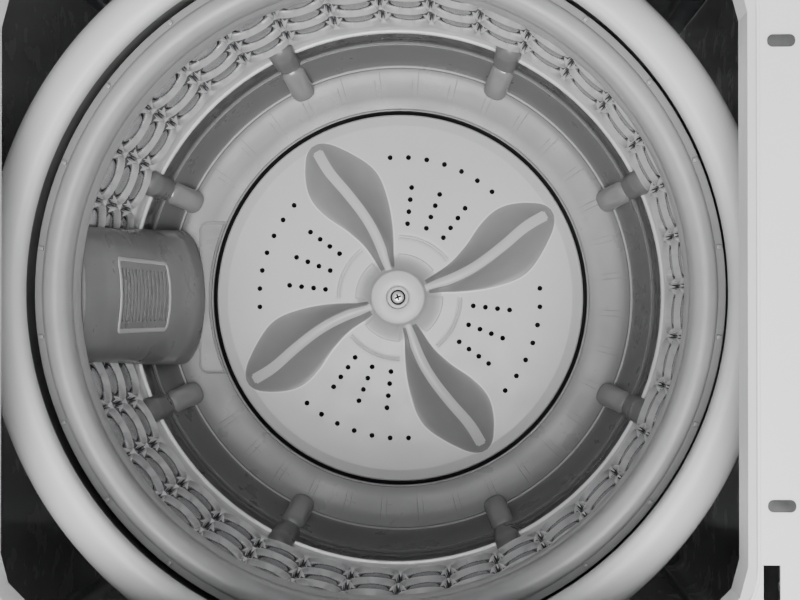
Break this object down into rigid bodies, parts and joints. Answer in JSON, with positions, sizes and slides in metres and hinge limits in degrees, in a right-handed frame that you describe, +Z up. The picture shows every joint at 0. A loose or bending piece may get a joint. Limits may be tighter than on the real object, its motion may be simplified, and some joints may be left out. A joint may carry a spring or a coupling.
{
  "type": "top load washing machine",
  "caption": "Free-standing top load washing machine with a spring-hung tub, perforated steel basket, bladed impeller, belt drive, lid and rear console.",
  "frame": {"origin": "centre of the footprint on the floor", "axes": "+Z up, the front faces -Y, +X is the right side seen from the front"},
  "size_m": [0.686, 0.69, 1.4472],
  "materials": {
    "white_enamel": "satin enamel",
    "deck_plastic": "satin moulded plastic",
    "cover_plastic": "moulded plastic",
    "grey_plastic": "satin moulded plastic",
    "impeller_plastic": "satin moulded plastic",
    "ring_plastic": "satin moulded plastic",
    "tub_plastic": "moulded plastic",
    "stainless": "polished stainless steel",
    "zinc_steel": "zinc plated",
    "cast_aluminium": "as cast",
    "dark_plastic": "moulded plastic",
    "button_plastic": "satin",
    "tinted_glass": "tinted, polished",
    "rubber": "matte",
    "board_green": "circuit board",
    "motor_paint": "black paint"
  },
  "bodies": {
    "cabinet": {"cabinet_wrap": "white_enamel", "top_panel": "deck_plastic", "console_housing": "deck_plastic", "console_rear_cover": "deck_plastic", "dispenser_housing": "deck_plastic", "base_frame": "zinc_steel", "rear_panel": "zinc_steel", "suspension_rod_1": "zinc_steel", "suspension_rod_2": "zinc_steel", "suspension_rod_3": "zinc_steel", "suspension_rod_4": "zinc_steel", "suspension_spring_1": "zinc_steel", "suspension_spring_2": "zinc_steel", "suspension_spring_3": "zinc_steel", "suspension_spring_4": "zinc_steel", "drain_port": "dark_plastic", "cord_gland": "dark_plastic", "lid_lock": "dark_plastic", "inlet_valve": "dark_plastic", "level_sensor": "dark_plastic", "drain_pump": "dark_plastic", "display_window": "tinted_glass", "sump_hose": "rubber", "pressure_hose": "rubber", "fill_hose": "rubber", "drain_hose": "rubber", "control_board": "board_green"},
    "lid": {"lid_frame": "deck_plastic", "lid_glass": "tinted_glass", "lid_handle": "stainless", "hinge_pin_left": "zinc_steel", "hinge_pin_right": "zinc_steel"},
    "tub": {"outer_tub": "tub_plastic", "tub_cover": "cover_plastic", "clutch_housing": "cast_aluminium", "motor": "motor_paint", "motor_bracket": "zinc_steel", "drive_belt": "rubber"},
    "basket": {"basket_base": "grey_plastic", "basket_wall": "stainless", "balance_ring": "ring_plastic", "filter_column": "grey_plastic", "drive_hub": "cast_aluminium"},
    "impeller": {"impeller": "impeller_plastic", "impeller_screw": "stainless", "drive_shaft": "zinc_steel", "drive_pulley": "cast_aluminium"},
    "motor_pulley": {"motor_pulley": "zinc_steel"},
    "pump_rotor": {"pump_rotor": "button_plastic"},
    "cycle_knob": {"cycle_knob": "button_plastic"},
    "power_button": {"power_button": "button_plastic"},
    "start_button": {"start_button": "button_plastic"},
    "option_button_1": {"option_button_1": "button_plastic"},
    "option_button_2": {"option_button_2": "button_plastic"},
    "detergent_drawer": {"detergent_drawer": "deck_plastic"},
    "lock_bolt": {"lock_bolt": "zinc_steel"},
    "levelling_foot_1": {"levelling_foot_1": "rubber"},
    "levelling_foot_2": {"levelling_foot_2": "rubber"},
    "levelling_foot_3": {"levelling_foot_3": "rubber"},
    "levelling_foot_4": {"levelling_foot_4": "rubber"}
  },
  "joints": [
    {"name": "lid_hinge", "type": "hinge", "parent": "cabinet", "child": "lid", "pos_m": [0, 0.228, 0.952], "axis": [1, 0, 0], "range_deg": [0, 96]},
    {"name": "tub_travel", "type": "slide", "parent": "cabinet", "child": "tub", "axis": [0, 0, 1], "range_m": [-0.02, 0], "stiffness_N_per_m": 12000, "springref_m": 0.03, "deforming": ["suspension_spring_1", "suspension_spring_2", "suspension_spring_3", "suspension_spring_4", "sump_hose", "pressure_hose"]},
    {"name": "basket_spin", "type": "hinge", "parent": "tub", "child": "basket", "pos_m": [0, -0.01, 0.37], "axis": [0, 0, 1], "continuous": true},
    {"name": "impeller_spin", "type": "hinge", "parent": "tub", "child": "impeller", "pos_m": [0, -0.01, 0.37], "axis": [0, 0, 1], "continuous": true},
    {"name": "motor_pulley_spin", "type": "hinge", "parent": "tub", "child": "motor_pulley", "pos_m": [0, 0.168, 0.1255], "axis": [0, 0, 1], "continuous": true},
    {"name": "pump_rotor_spin", "type": "hinge", "parent": "cabinet", "child": "pump_rotor", "pos_m": [0.165, -0.14, 0.105], "axis": [0, 0, 1], "continuous": true},
    {"name": "cycle_knob_turn", "type": "hinge", "parent": "cabinet", "child": "cycle_knob", "pos_m": [-0.04, 0.27138, 1.01966], "axis": [0, -0.9654, 0.2608], "continuous": true},
    {"name": "power_button_press", "type": "slide", "parent": "cabinet", "child": "power_button", "axis": [0, -0.9654, 0.2608], "range_m": [-0.002, 0], "stiffness_N_per_m": 300},
    {"name": "start_button_press", "type": "slide", "parent": "cabinet", "child": "start_button", "axis": [0, -0.9654, 0.2608], "range_m": [-0.002, 0], "stiffness_N_per_m": 300},
    {"name": "option_button_1_press", "type": "slide", "parent": "cabinet", "child": "option_button_1", "axis": [0, -0.9654, 0.2608], "range_m": [-0.002, 0], "stiffness_N_per_m": 300},
    {"name": "option_button_2_press", "type": "slide", "parent": "cabinet", "child": "option_button_2", "axis": [0, -0.9654, 0.2608], "range_m": [-0.002, 0], "stiffness_N_per_m": 300},
    {"name": "detergent_drawer_slide", "type": "slide", "parent": "cabinet", "child": "detergent_drawer", "axis": [0, -1, 0], "range_m": [0, 0.085]},
    {"name": "lock_bolt_slide", "type": "slide", "parent": "cabinet", "child": "lock_bolt", "axis": [-1, 0, 0], "range_m": [0, 0.014], "stiffness_N_per_m": 150},
    {"name": "levelling_foot_1_adjust", "type": "slide", "parent": "cabinet", "child": "levelling_foot_1", "axis": [0, 0, 1], "range_m": [-0.012, 0]},
    {"name": "levelling_foot_2_adjust", "type": "slide", "parent": "cabinet", "child": "levelling_foot_2", "axis": [0, 0, 1], "range_m": [-0.012, 0]},
    {"name": "levelling_foot_3_adjust", "type": "slide", "parent": "cabinet", "child": "levelling_foot_3", "axis": [0, 0, 1], "range_m": [-0.012, 0]},
    {"name": "levelling_foot_4_adjust", "type": "slide", "parent": "cabinet", "child": "levelling_foot_4", "axis": [0, 0, 1], "range_m": [-0.012, 0]}
  ],
  "couplings": [
    {"joint": "motor_pulley_spin", "follows": "impeller_spin", "ratio": 3.4091}
  ]
}
